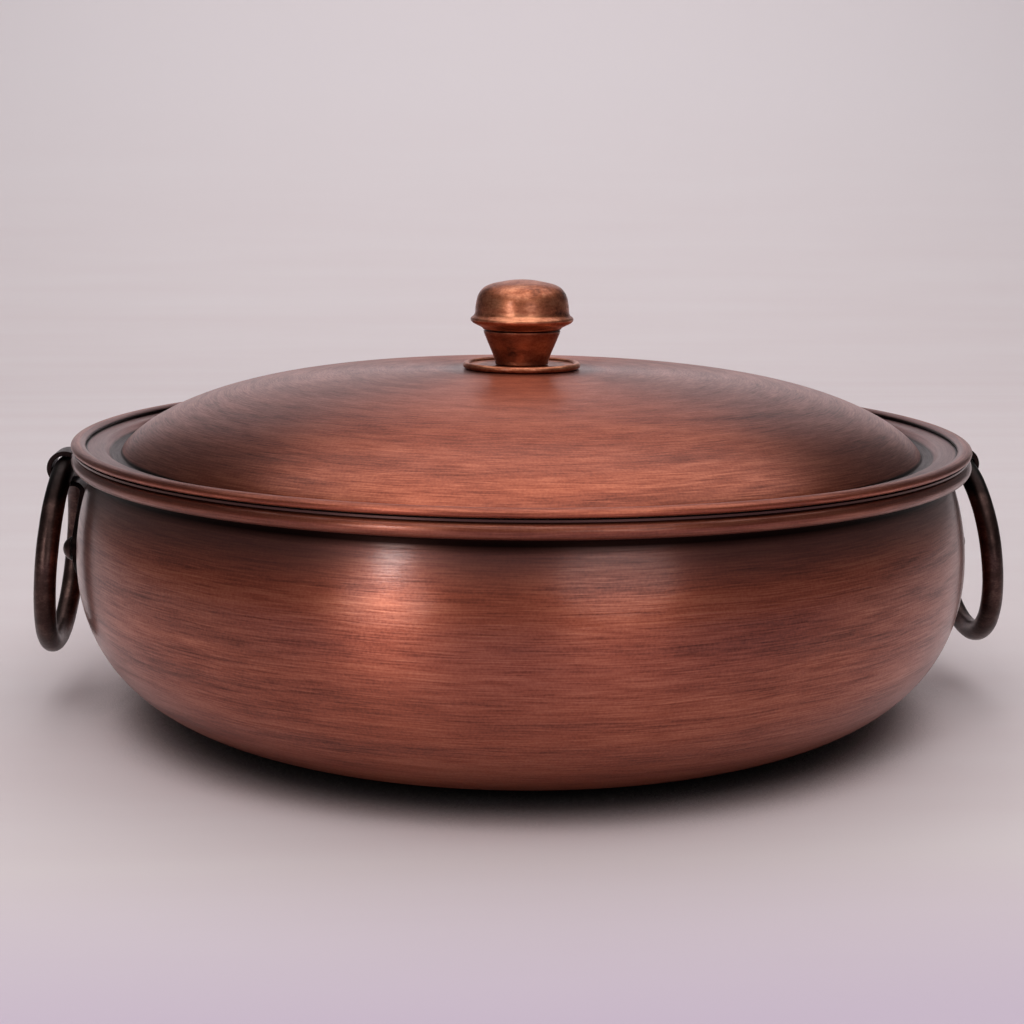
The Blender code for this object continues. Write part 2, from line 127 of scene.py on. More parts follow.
def turned_place(tree):
    """The object coordinates, whole and as three parts, and the radius about Z."""
    place = add_node(tree, "ShaderNodeTexCoord").outputs["Object"]
    parts = add_node(tree, "ShaderNodeSeparateXYZ", {0: place}).outputs
    squares = [math_node(tree, "MULTIPLY", parts[i], parts[i]) for i in (0, 1)]
    radius = math_node(tree, "SQRT", math_node(tree, "ADD", squares[0], squares[1]))
    return place, parts, radius


def new_group(name, inputs, outputs):
    """A shader group with named sockets, given as (name, kind, value) and (name, kind)."""
    group = bpy.data.node_groups.new(name, "ShaderNodeTree")
    for socket_name, kind, value in inputs:
        socket = group.interface.new_socket(socket_name, in_out="INPUT", socket_type=kind)
        socket.default_value = value
    for socket_name, kind in outputs:
        group.interface.new_socket(socket_name, in_out="OUTPUT", socket_type=kind)
    return group, group.nodes.new("NodeGroupInput"), group.nodes.new("NodeGroupOutput")


NUMBER = "NodeSocketFloat"
COLOUR = "NodeSocketColor"


# %% [markdown]
# ## Turning marks
#
# The bowl, the lid, the pan and the knob were all turned on a lathe and then brushed while they spun.
# The marks run round the axis: fine hairlines, and broader bands drawn out along the turn. An image
# could show them, but a noise read in turned coordinates needs no picture and has no seam. The radius
# and the height change fast across the marks. The direction round the axis, as a cosine and a sine,
# changes slowly along them, so the noise is stretched into arcs. A hand held the pad, so a slow noise
# lets the marks wander a little up and down.

# %% Turning marks group
MARK_INPUTS = ("Lines per Metre", "Arcs per Turn", "Wander", "Seed")
WANDER_SCALE = 26.0
LEAST_RADIUS = 0.002
ARC_SHARE_POWER = 0.55
# Each layer has its share of the lines per metre and the detail of its noise
MARK_LAYERS = (("Hairlines", 1.0, 2.0), ("Bands", 0.08, 1.0))


def make_turning_marks():
    """Streaks that run round Z, made from four-dimensional noise."""
    inputs = [(name, NUMBER, 0.0) for name in MARK_INPUTS]
    group, given, out = new_group("turning_marks", inputs, [("Hairlines", NUMBER), ("Bands", NUMBER)])
    place, parts, radius = turned_place(group)
    safe = math_node(group, "MAXIMUM", radius, LEAST_RADIUS)
    cosine = math_node(group, "DIVIDE", parts[0], safe)
    sine = math_node(group, "DIVIDE", parts[1], safe)
    slow = noise_node(group, Vector=place, Scale=WANDER_SCALE, Detail=1.0)
    drift = math_node(group, "MULTIPLY", math_node(group, "SUBTRACT", slow, 0.5), given.outputs["Wander"])
    height = math_node(group, "ADD", parts[2], drift)
    for output, share, detail in MARK_LAYERS:
        lines = math_node(group, "MULTIPLY", given.outputs["Lines per Metre"], share)
        arcs = math_node(group, "MULTIPLY", given.outputs["Arcs per Turn"], share**ARC_SHARE_POWER)
        across = math_node(group, "MULTIPLY", radius, lines)
        up = math_node(group, "MULTIPLY", height, lines)
        along = math_node(group, "MULTIPLY", cosine, arcs)
        turn = math_node(group, "MULTIPLY", sine, arcs)
        shifted_turn = math_node(group, "ADD", turn, given.outputs["Seed"])
        spot = add_node(group, "ShaderNodeCombineXYZ", {0: across, 1: up, 2: along}).outputs[0]
        noise = noise_node(
            group, "4D", Vector=spot, W=shifted_turn, Scale=1.0, Detail=detail, Roughness=0.55
        )
        group.links.new(noise, out.inputs[output])
    return group


turning_marks = make_turning_marks()
print("turning marks:", len(turning_marks.nodes), "nodes")


# %% [markdown]
# ## Antique finish
#
# New copper is dipped to darken it and then brushed back, so brown and violet stay in the hollows of
# the marks and bright metal shows on what the brush reached. One group turns the marks into a colour:
# it mixes a dark, a middle and a bright colour by how far the brushing went. A knob, a bowl and a dark
# bronze ring use the same group with their own colours.

# %% Antique finish group
FINISH_COLOURS = ("Dark", "Middle", "Bright")
FINISH_STRENGTHS = ("Mark Strength", "Band Strength")
FINISH_SIZES = ("Blotches per Metre", "Blotch Strength", "Lift")
PIT_STRENGTH = 0.3
BLOTCH_FLATTENING = (1.0, 1.0, 2.2)
PITS_PER_METRE = 1300.0
# How bare the metal is where its colour is wholly the dark, the middle and the bright one
DARK_AT = 0.12
MIDDLE_AT = 0.5
BRIGHT_AT = 0.92


def make_antique_finish():
    """Turns marks, blotches and pits into a patina colour, and says how bare the metal is."""
    inputs = [(name, COLOUR, (0.0, 0.0, 0.0, 1.0)) for name in FINISH_COLOURS]
    inputs += [(name, NUMBER, 0.0) for name in ("Marks", "Bands", *FINISH_STRENGTHS, *FINISH_SIZES)]
    inputs.append(("Pit Strength", NUMBER, PIT_STRENGTH))
    group, given, out = new_group("antique_finish", inputs, [("Colour", COLOUR), ("Bareness", NUMBER)])
    place = add_node(group, "ShaderNodeTexCoord").outputs["Object"]
    flat = add_node(group, "ShaderNodeMapping", {"Vector": place, "Scale": BLOTCH_FLATTENING}).outputs[0]
    size = given.outputs["Blotches per Metre"]
    blotch = noise_node(group, Vector=flat, Scale=size, Detail=4.0, Roughness=0.62, Distortion=0.35)
    pits = noise_node(group, Vector=place, Scale=PITS_PER_METRE, Detail=1.0)
    total = given.outputs["Lift"]
    for value, strength in (
        (given.outputs["Marks"], "Mark Strength"),
        (given.outputs["Bands"], "Band Strength"),
        (blotch, "Blotch Strength"),
        (pits, "Pit Strength"),
    ):
        centred = math_node(group, "SUBTRACT", value, 0.5)
        part = math_node(group, "MULTIPLY", centred, given.outputs[strength])
        total = math_node(group, "ADD", total, part)
    bare = math_node(group, "ADD", total, MIDDLE_AT)
    low = ranged(group, bare, DARK_AT, MIDDLE_AT)
    high = ranged(group, bare, MIDDLE_AT, BRIGHT_AT)
    dull = mix_colours(group, low, given.outputs["Dark"], given.outputs["Middle"])
    colour = mix_colours(group, high, dull, given.outputs["Bright"])
    group.links.new(colour, out.inputs["Colour"])
    group.links.new(bare, out.inputs["Bareness"])
    return group


antique_finish = make_antique_finish()
print("antique finish:", len(antique_finish.nodes), "nodes")


# %% [markdown]
# ## Painted shade in corners
#
# Where one form shades another, as under a rolled rim, that shade is painted into the colour.
# Each such corner is a ring with an inner and an outer radius and a low and a high edge, so a mask read
# from the radius and the height finds it. The same ring also places milder painted shade and painted
# reflections. A mask painted as an image would need an unwrapped surface first.

# %% Painted shade ring group
CORNER_INPUTS = ("Inner Radius", "Outer Radius", "Low", "High", "Softness")


def make_painted_light_ring():
    """A mask that is 1 inside a ring about Z and fades out over its softness."""
    inputs = [(name, NUMBER, 0.0) for name in CORNER_INPUTS]
    group, given, out = new_group("painted_light_ring", inputs, [("Painted Amount", NUMBER)])
    _, parts, radius = turned_place(group)
    depths = []
    for value, low, high in ((radius, "Inner Radius", "Outer Radius"), (parts[2], "Low", "High")):
        depths.append(math_node(group, "SUBTRACT", value, given.outputs[low]))
        depths.append(math_node(group, "SUBTRACT", given.outputs[high], value))
    least = depths[0]
    for depth in depths[1:]:
        least = math_node(group, "MINIMUM", least, depth)
    inside = math_node(group, "DIVIDE", least, given.outputs["Softness"])
    share = math_node(group, "ADD", inside, 1.0)
    group.links.new(ranged(group, share, 0.0, 1.0), out.inputs["Painted Amount"])
    return group


painted_light_ring = make_painted_light_ring()
print("sheltered corner:", len(painted_light_ring.nodes), "nodes")


# %% [markdown]
# ## Metals
#
# Every metal here is a Principled shader at full metallic. The turned copper also gets Anisotropic, the
# setting for brushed metal: hairlines that run round the dish smear a highlight across themselves, so a
# lamp is seen as a tall soft streak on the bowl. Over it lies a clear lacquer, set with Coat: it mirrors
# the window as a small whitish patch, and greys the edges where the eye meets the metal at a low angle.
#
# A corner paints shade over what it covers, in a dark colour, and takes the lacquer off there. A
# painted tint uses the same ring-shaped mask for a milder colour, for painted shade such as that on the
# shoulder under the rim and for painted reflections, and may spare one ring inside it.

# %% Metal material
# Hairline values between which the lacquer goes from thin to thick, and how much that changes it
LACQUER_MARKS = (0.3, 0.7)
LACQUER_SPREAD = 0.4
# Bareness between which the roughness goes from that of dark metal to that of bare metal
ROUGH_BARENESS = (0.15, 0.85)
# A quarter turn lays the brushing round the axis
BRUSHED_ROUND = 0.25


def new_material(name):
    """A material with nodes, its tree and its shader."""
    made = bpy.data.materials.new(name)
    made.use_nodes = True
    return made, made.node_tree, made.node_tree.nodes["Principled BSDF"]


def set_inputs(node, names, values):
    """Fills a node's named inputs in order."""
    for name, value in zip(names, values):
        node.inputs[name].default_value = value


def painted_ring_mask(tree, corner):
    """The mask of one ring where light or shade is painted, given in millimetres."""
    ring = add_node(tree, "ShaderNodeGroup", node_tree=painted_light_ring)
    set_inputs(ring, CORNER_INPUTS, [value * 0.001 for value in corner])
    return ring.outputs["Painted Amount"]


def add_painted_tints(tree, colour, painted_tints):
    """The colour with painted shade and painted reflections tinted in, each given as
    (corner, tint, most, spared corner).
    """
    for zone, tint, most, spared in painted_tints:
        amount = math_node(tree, "MULTIPLY", painted_ring_mask(tree, zone), most)
        if spared:
            outside = math_node(tree, "SUBTRACT", 1.0, painted_ring_mask(tree, spared))
            amount = math_node(tree, "MULTIPLY", amount, outside)
        colour = mix_colours(tree, amount, colour, (*tint, 1.0))
    return colour


def painted_shade_of(tree, corners):
    """One mask of painted shade for all of a metal's corners, or 0 where it has none."""
    painted_shade = 0.0
    for corner in corners:
        painted_shade = math_node(tree, "MAXIMUM", painted_ring_mask(tree, corner), painted_shade)
    return painted_shade


def metal(name, colours, rough, grain, bump, blotches, strength, lift=0.0, anisotropic=0.0,
          coat=(0.0, 0.2), corners=(), painted_shade_colour=(0.012, 0.005, 0.004), painted_tints=()):
    """A brushed or cast metal from the groups. rough is (bare metal, dark metal). Its corners get
    painted shade in a dark colour and lose their lacquer, and its tints add milder painted shade and
    painted reflections.
    """
    made, tree, shader = new_material(name)
    marks = add_node(tree, "ShaderNodeGroup", node_tree=turning_marks)
    set_inputs(marks, MARK_INPUTS, grain)
    hairlines = marks.outputs["Hairlines"]
    finish = add_node(tree, "ShaderNodeGroup", node_tree=antique_finish)
    set_inputs(finish, FINISH_COLOURS, [(*colour, 1.0) for colour in colours])
    set_inputs(finish, FINISH_STRENGTHS, strength)
    set_inputs(finish, FINISH_SIZES, (*blotches, lift))
    tree.links.new(hairlines, finish.inputs["Marks"])
    tree.links.new(marks.outputs["Bands"], finish.inputs["Bands"])

    # Painted shade and painted reflections are tinted in, and then the corners' painted shade
    colour = add_painted_tints(tree, finish.outputs["Colour"], painted_tints)
    painted_shade = painted_shade_of(tree, corners)
    if corners:
        colour = mix_colours(tree, painted_shade, colour, (*painted_shade_colour, 1.0))
    tree.links.new(colour, shader.inputs["Base Color"])
    rougher = ranged(tree, finish.outputs["Bareness"], *ROUGH_BARENESS, rough[1], rough[0])
    tree.links.new(rougher, shader.inputs["Roughness"])
    bump_inputs = {"Strength": 1.0, "Distance": bump, "Height": hairlines}
    raised = add_node(tree, "ShaderNodeBump", bump_inputs).outputs[0]
    tree.links.new(raised, shader.inputs["Normal"])
    shader.inputs["Coat Roughness"].default_value = coat[1]
    if coat[0]:
        thin = coat[0] * (1.0 - LACQUER_SPREAD)
        thick = coat[0] * (1.0 + LACQUER_SPREAD)
        lacquer = ranged(tree, hairlines, *LACQUER_MARKS, thin, thick)
        # No lacquer where shade is painted
        outside_painted_shade = ranged(tree, painted_shade, 0.0, 1.0, 1.0, 0.0)
        tree.links.new(math_node(tree, "MULTIPLY", lacquer, outside_painted_shade), shader.inputs["Coat Weight"])
        tree.links.new(raised, shader.inputs["Coat Normal"])
    shader.inputs["Metallic"].default_value = 1.0
    shader.inputs["Anisotropic"].default_value = anisotropic
    shader.inputs["Anisotropic Rotation"].default_value = BRUSHED_ROUND if anisotropic else 0.0
    return made


# %% Corners of painted shade, and painted tints
# A corner is (inner radius, outer radius, low, high, softness) in millimetres
# Painted shadow, near black, under the bowl's rolled rim at its neck
NECK_PAINTED_SHADOW = (120.0, 147.6, 80.9, 85.0, 2.4)
# Painted shade, near black, in the crease inside the lid's rim
LEDGE_PAINTED_SHADE = (144.9, 146.0, 88.0, 90.9, 0.4)
# Painted shade, near black, in the lid's groove
GROOVE_PAINTED_SHADE = (133.0, 137.6, 86.0, 88.1, 0.6)
# Painted shade on the pan's flange edge, in the gap between the lid's rim and the bowl's
FLANGE_PAINTED_SHADE = (148.2, 160.0, 80.0, 95.0, 0.5)
BOWL_BEAD = (100.0, 160.0, 83.4, 95.0, 0.6)
# Painted shade, grey-violet, on the shoulder under the bowl's rim, sparing the bead
SHOULDER_PAINTED_SHADE = ((100.0, 160.0, 77.0, 90.0, 9.0), (0.12, 0.058, 0.052), 0.7, BOWL_BEAD)
# Painted shade on the bowl's rim bead, under the lid's rim
BEAD_PAINTED_SHADE = (BOWL_BEAD, (0.12, 0.035, 0.022), 0.4, None)
# Painted reflection: a lilac-grey sheen on the lid's ledge
LEDGE_PAINTED_REFLECTION = ((138.0, 146.5, 80.0, 96.0, 1.0), (0.19, 0.11, 0.11), 0.7, None)
# Painted dark reflection of the knob on the dome round its foot
KNOB_PAINTED_REFLECTION = ((-10.0, 23.0, 90.0, 120.0, 7.0), (0.10, 0.025, 0.016), 0.7, None)
# Painted shade on the knob's stem and plate, under the cap
STEM_PAINTED_SHADE = ((-10.0, 14.0, 112.0, 126.6, 1.0), (0.10, 0.030, 0.018), 0.45, None)
# Painted shadow, near black, in the brackets' eyes and on the tops of the rings
EYE_PAINTED_SHADOW = ((100.0, 170.0, 74.0, 95.0, 3.0), (0.006, 0.004, 0.004), 0.8, None)
# Painted shadow, near black, on the leaves and the parts of rivets and rings close to the bowl's wall
LEAF_PAINTED_SHADOW = ((100.0, 152.2, 35.0, 80.0, 0.3), (0.006, 0.004, 0.004), 0.8, None)
print("neck corner, in millimetres:", NECK_PAINTED_SHADOW)

# %% The six metals
bowl_copper = metal(
    "brushed_bowl_copper",
    [(0.09, 0.025, 0.018), (0.32, 0.080, 0.044), (0.53, 0.170, 0.092)],
    rough=(0.36, 0.50),
    grain=(2500.0, 12.0, 0.0016, 0.0),
    bump=0.00004,
    blotches=(24.0, 0.2),
    strength=(0.95, 0.6),
    lift=0.03,
    anisotropic=0.8,
    coat=(0.5, 0.16),
    corners=[NECK_PAINTED_SHADOW],
    painted_tints=[SHOULDER_PAINTED_SHADE, BEAD_PAINTED_SHADE],
)
lid_copper = metal(
    "brushed_lid_copper",
    [(0.11, 0.029, 0.021), (0.34, 0.082, 0.044), (0.60, 0.175, 0.09)],
    rough=(0.36, 0.50),
    grain=(2300.0, 12.0, 0.0016, 21.0),
    bump=0.00004,
    blotches=(24.0, 0.2),
    strength=(0.95, 0.55),
    lift=0.02,
    anisotropic=0.8,
    coat=(0.35, 0.25),
    corners=[LEDGE_PAINTED_SHADE, GROOVE_PAINTED_SHADE],
    painted_tints=[LEDGE_PAINTED_REFLECTION, KNOB_PAINTED_REFLECTION],
)
knob_copper = metal(
    "cast_knob_copper",
    [(0.06, 0.017, 0.010), (0.43, 0.13, 0.063), (0.80, 0.32, 0.17)],
    rough=(0.36, 0.5),
    grain=(1500.0, 9.0, 0.001, 3.0),
    bump=0.00003,
    blotches=(95.0, 1.5),
    strength=(0.5, 0.5),
    lift=0.06,
    coat=(0.3, 0.2),
    painted_tints=[STEM_PAINTED_SHADE],
)
dark_bronze = metal(
    "dark_bronze",
    [(0.018, 0.011, 0.010), (0.060, 0.034, 0.030), (0.17, 0.10, 0.085)],
    rough=(0.30, 0.45),
    grain=(500.0, 14.0, 0.0, 7.0),
    bump=0.00003,
    blotches=(120.0, 0.9),
    strength=(0.3, 0.3),
    painted_tints=[EYE_PAINTED_SHADOW, LEAF_PAINTED_SHADOW],
)
tinned = metal(
    "tinned_steel",
    [(0.42, 0.41, 0.40), (0.60, 0.59, 0.575), (0.72, 0.71, 0.70)],
    rough=(0.24, 0.34),
    grain=(1600.0, 8.0, 0.0, 5.0),
    bump=0.00002,
    blotches=(14.0, 0.5),
    strength=(0.6, 0.6),
    anisotropic=0.5,
    # The flange edge's painted shade is a dark brown
    corners=[FLANGE_PAINTED_SHADE],
    painted_shade_colour=(0.10, 0.052, 0.045),
)
plain_steel = metal(
    "plain_steel",
    [(0.25, 0.24, 0.23), (0.46, 0.45, 0.44), (0.62, 0.61, 0.60)],
    rough=(0.3, 0.45),
    grain=(1500.0, 8.0, 0.0, 9.0),
    bump=0.00002,
    blotches=(160.0, 0.8),
    strength=(0.5, 0.5),
)
print("metals:", [m.name for m in (bowl_copper, lid_copper, knob_copper, dark_bronze, tinned, plain_steel)])


# %% [markdown]
# ## Turned pieces
#
# A spun shell is one sheet pressed over a turning form. In Blender that is a line for the sheet's middle,
# a Screw modifier that turns it about Z, and a Solidify modifier that gives it the sheet's thickness. A
# solid piece such as the knob is a closed outline and needs no Solidify. The sizes repeat the packed
# model's, in millimetres, so each visual piece lies where its solid does, only finer.

# %% Turned shape helpers
MM = 0.001
GAP = 0.3
BOWL_SHEET = 1.0
PAN_SHEET = 0.6
LID_SHEET = 0.7
RIM_RADIUS = 150.0
BEAD_RADIUS = 2.35
BEAD_CENTRE = RIM_RADIUS - BEAD_RADIUS
BOWL_BEAD_HEIGHT = 85.7
FLANGE_LOW = BOWL_BEAD_HEIGHT + BEAD_RADIUS + GAP
FLANGE_TOP = FLANGE_LOW + PAN_SHEET
LEDGE_TOP = FLANGE_TOP + GAP + LID_SHEET
LID_BEAD_HALF = 1.35
LID_BEAD_HEIGHT = FLANGE_TOP + GAP + LID_BEAD_HALF
# The most of a side that the rounding of one corner may use
SIDE_SHARE = 0.48
SHARP_FROM = math.radians(50.0)
MERGE_REACH = 0.000004


def bent(start, corner, end, share):
    """A point on the curve from start to end that the corner pulls towards itself."""
    weights = ((1 - share) ** 2, 2 * share * (1 - share), share * share)
    return tuple(sum(w * p[k] for w, p in zip(weights, (start, corner, end))) for k in (0, 1))


def rounded(points, radius, steps=5):
    """A line whose corners are rounded off by about a radius."""
    line = [points[0]]
    for before, corner, after in zip(points, points[1:], points[2:]):
        ends = []
        for end in (before, after):
            reach = math.dist(end, corner)
            share = min(radius, reach * SIDE_SHARE) / reach
            ends.append([c + (e - c) * share for c, e in zip(corner, end)])
        line += [bent(ends[0], corner, ends[1], i / steps) for i in range(steps + 1)]
    line.append(points[-1])
    return line


def shifted(points, distance):
    """A line moved sideways, to the left of its own direction."""
    moved = []
    for i, (r, z) in enumerate(points):
        before = points[max(i - 1, 0)]
        after = points[min(i + 1, len(points) - 1)]
        share = distance / math.dist(before, after)
        moved.append((r - share * (after[1] - before[1]), z + share * (after[0] - before[0])))
    return moved


def arc(centre, radius, start, end, steps):
    """Points on an arc, with its angles in degrees."""
    angles = [math.radians(start + (end - start) * i / steps) for i in range(steps + 1)]
    return [(centre[0] + radius * math.cos(a), centre[1] + radius * math.sin(a)) for a in angles]


def finished(made, name):
    """The object's modifiers made into a plain mesh."""
    bpy.context.view_layer.update()
    seen = made.evaluated_get(bpy.context.evaluated_depsgraph_get())
    mesh = bpy.data.meshes.new_from_object(seen)
    mesh.name = name
    made.modifiers.clear()
    made.data = mesh


def shaded(made):
    """Smooth shading that keeps sharp edges sharp."""
    made.data.shade_smooth()
    made.data.set_sharp_from_angle(angle=SHARP_FROM)
    print(made.name, len(made.data.polygons), "faces")


def thickened(made, thickness):
    """Gives a surface its sheet's thickness, half to each side."""
    wall = made.modifiers.new("sheet", "SOLIDIFY")
    wall.thickness = thickness * MM
    wall.offset = 0.0
    wall.use_even_offset = True


def turned(name, points, steps, material, sheet=0.0, closed=False):
    """A shape turned about Z, with a sheet's thickness where one is given."""
    mesh = bpy.data.meshes.new(name)
    edges = [(i, i + 1) for i in range(len(points) - 1)]
    if closed:
        edges.append((len(points) - 1, 0))
    mesh.from_pydata([(r * MM, 0.0, z * MM) for r, z in points], edges, [])
    made = placed(name, mesh)
    screw = made.modifiers.new("turn", "SCREW")
    screw.steps = steps
    screw.render_steps = steps
    screw.use_merge_vertices = True
    screw.merge_threshold = MERGE_REACH
    if sheet:
        thickened(made, sheet)
    finished(made, name)
    made.data.materials.append(material)
    shaded(made)
    return made


def stands_for(piece, body, slot, *nodes):
    """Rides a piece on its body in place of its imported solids."""
    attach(piece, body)
    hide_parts(*nodes)


# %% [markdown]
# ## Bowl
#
# The bowl bulges below its neck, like a squashed ball with a flat base. Its wall is drawn as two power
# curves that meet at the belly, because a circle is too full at the shoulder and too thin at the base.
# Above the neck the sheet flares out and rolls over a wire into the round rim bead.

# %% Bowl
BASE_RADIUS = 84.0
BELLY_RADIUS = 149.6
BELLY_HEIGHT = 52.5
NECK_RADIUS = 143.6
NECK_HEIGHT = 82.0
BASE_POWER = 0.945
SIDE_POWER = 0.365
BOWL_ROLL_END = -122.0
NECK_FILLET = 0.7


def bowl_radius(height):
    """The bowl's outside radius below its neck."""
    if height < BELLY_HEIGHT:
        sine = (1 - height / BELLY_HEIGHT) ** (1 / BASE_POWER)
        return BASE_RADIUS + (BELLY_RADIUS - BASE_RADIUS) * (1 - sine**2) ** SIDE_POWER
    share = (height - BELLY_HEIGHT) / (NECK_HEIGHT - BELLY_HEIGHT)
    return BELLY_RADIUS - (BELLY_RADIUS - NECK_RADIUS) * share**2


def bowl_line():
    """The middle of the bowl's sheet from the axis to the end of its roll."""
    outside = [(BASE_RADIUS * i / 6, 0.0) for i in range(6)]
    for i in range(49):
        angle = math.radians(90.0) * (1 - i / 48)
        out = (BELLY_RADIUS - BASE_RADIUS) * max(math.cos(angle), 0.0) ** (2 * SIDE_POWER)
        outside.append((BASE_RADIUS + out, BELLY_HEIGHT * (1 - math.sin(angle) ** BASE_POWER)))
    rise = NECK_HEIGHT - 1.0 - BELLY_HEIGHT
    heights = [BELLY_HEIGHT + rise * i / 20 for i in range(1, 21)]
    outside += [(bowl_radius(height), height) for height in heights]
    wall = shifted(outside, BOWL_SHEET / 2)
    roll_radius = BEAD_RADIUS - BOWL_SHEET / 2
    roll_line = arc((BEAD_CENTRE, BOWL_BEAD_HEIGHT), roll_radius, 180.0, BOWL_ROLL_END, 30)
    flare = [(NECK_RADIUS - 0.4, NECK_HEIGHT + 0.6), (BEAD_CENTRE - roll_radius, BOWL_BEAD_HEIGHT - 0.7)]
    neck = rounded([wall[-1], *flare, roll_line[1]], NECK_FILLET)
    return [(0.0, BOWL_SHEET / 2)] + wall[1:] + neck[1:-1] + roll_line[1:]


bowl = turned("copper_bowl", bowl_line(), 240, bowl_copper, sheet=BOWL_SHEET)
stands_for(bowl, "bowl_body", "copper", "bowl")


# %% [markdown]
# ## Food pan
#
# A plain round pan with a flat flange hangs between the bowl and the lid. Only the flange's thin edge
# shows in the photograph. It is the same kind of turned sheet, in tinned steel.

# %% Food pan
PAN_FLANGE = 149.0
PAN_LIP = 2.0
PAN_WALL_TOP = 140.5
PAN_WALL_FOOT = 138.9
PAN_CORNER = 11.0
PAN_DEPTH = 48.0


def pan_line():
    """The middle of the pan's sheet from its flange to the axis."""
    middle = FLANGE_LOW + PAN_SHEET / 2
    floor = middle - PAN_DEPTH
    floor_radius = PAN_WALL_FOOT - PAN_CORNER
    line = [(PAN_FLANGE, middle), (PAN_FLANGE - 3.0, middle)]
    line += arc((PAN_WALL_TOP + PAN_LIP, middle - PAN_LIP), PAN_LIP, 90.0, 180.0, 8)
    line += arc((floor_radius, floor + PAN_CORNER), PAN_CORNER, 0.0, -90.0, 16)
    line += [(floor_radius * (5 - i) / 5, floor) for i in range(1, 6)]
    return line


pan = turned("tinned_pan", pan_line(), 192, tinned, sheet=PAN_SHEET)
stands_for(pan, "pan_body", "tinned_steel", "food_pan")


# %% [markdown]
# ## Lid
#
# The lid is a low dome whose foot drops into a narrow groove. The groove seats it in the pan's mouth,
# and outside it a flat ledge runs to a rolled rim, pressed flatter than the bowl's. The dome is a power
# curve, steep only at its foot. Fillets at the groove's corners catch the thin light and dark lines that
# the photograph shows there, and painted shade darkens the groove and the crease inside the rim.

# %% Lid
DOME_HEIGHT = 25.8
DOME_RADIUS = 134.2
DOME_POWER = 3.43
DOME_SHOULDER_POWER = 0.72
GROOVE_DEPTH = 2.6
GROOVE_WIDTH = 3.0
GROOVE_SLOPE = 2.2
GROOVE_FILLET = 0.8
GROOVE = LEDGE_TOP - GROOVE_DEPTH
LEDGE_END = 144.0
LID_ROLL_END = 190.0
SCREW_HOLE = 2.4


def lid_line():
    """The middle of the lid's sheet from the knob's hole to the end of its roll."""
    half = LID_SHEET / 2
    top = [(SCREW_HOLE, GROOVE + DOME_HEIGHT)]
    for i in range(3, 58):
        angle = math.radians(90.0 * i / 60)
        out = math.sin(angle) ** (2 / DOME_POWER)
        up = math.cos(angle) ** (2 * DOME_SHOULDER_POWER)
        top.append((DOME_RADIUS * out, GROOVE + DOME_HEIGHT * up))
    groove_end = DOME_RADIUS + GROOVE_WIDTH
    foot = [top[-1], (DOME_RADIUS, GROOVE), (groove_end, GROOVE)]
    foot += [(groove_end + GROOVE_SLOPE, LEDGE_TOP), (LEDGE_END, LEDGE_TOP)]
    middle = shifted(top[:-1] + rounded(foot, GROOVE_FILLET), -half)
    middle.append((BEAD_CENTRE - 1.0, LEDGE_TOP - half))
    roll_out = BEAD_RADIUS - half
    roll_up = LID_BEAD_HALF - half
    circle = arc((0.0, 0.0), 1.0, -90.0, LID_ROLL_END, 36)
    return middle + [(BEAD_CENTRE + roll_out * r, LID_BEAD_HEIGHT + roll_up * z) for r, z in circle]


lid = turned("copper_lid", lid_line(), 240, lid_copper, sheet=LID_SHEET)
stands_for(lid, "lid_body", "copper", "lid")


# %% [markdown]
# ## Knob
#
# The knob is cast in pieces and held by a screw from inside the lid: a pressed plate with a rolled edge,
# a stem that widens upwards, and a cap like a low mushroom with a flared lip. Each is a closed
# outline turned about the axis. Rounding the outline's corners stands in for a Bevel, which would also
# round the hidden seats.

# %% Knob
PLATE_SHEET = 0.8
PLATE_LIFT = 0.4
PLATE_ROLL = 1.1
PLATE_ROLL_CENTRE = 18.9
STEM_HEIGHT = 11.5
STEM_FOOT = 9.0
STEM_HEAD = 13.1
CAP_HEIGHT = 16.8
CAP_BORE = 2.3
CAP_BORE_DEPTH = 10.7
DOME_TOP = GROOVE + DOME_HEIGHT
PLATE_TOP = DOME_TOP + PLATE_LIFT + PLATE_SHEET
STEM_LOW = PLATE_TOP + GAP
STEM_TOP = STEM_LOW + STEM_HEIGHT
CAP_LOW = STEM_TOP + GAP
CAP_TOP = CAP_LOW + CAP_HEIGHT


def plate_line():
    """The plate under the knob, flat with a round edge."""
    under = PLATE_TOP - PLATE_SHEET
    edge = arc((PLATE_ROLL_CENTRE, PLATE_TOP + 0.05), PLATE_ROLL, 172.0, -148.0, 18)
    return [(SCREW_HOLE, PLATE_TOP)] + edge + [(PLATE_ROLL_CENTRE - 1.5, under), (SCREW_HOLE, under)]


def stem_line():
    """The stem from its top out and down to its foot."""
    outside = [(SCREW_HOLE, STEM_TOP), (STEM_HEAD, STEM_TOP)]
    outside += [(STEM_HEAD - 0.2, STEM_TOP - 0.9), (STEM_HEAD - 1.2, STEM_TOP - 3.4)]
    outside += [(STEM_FOOT + 1.1, STEM_LOW + 3.9), (STEM_FOOT + 0.1, STEM_LOW + 1.2)]
    outside += [(STEM_FOOT, STEM_LOW), (SCREW_HOLE, STEM_LOW)]
    return rounded(outside, 0.4)


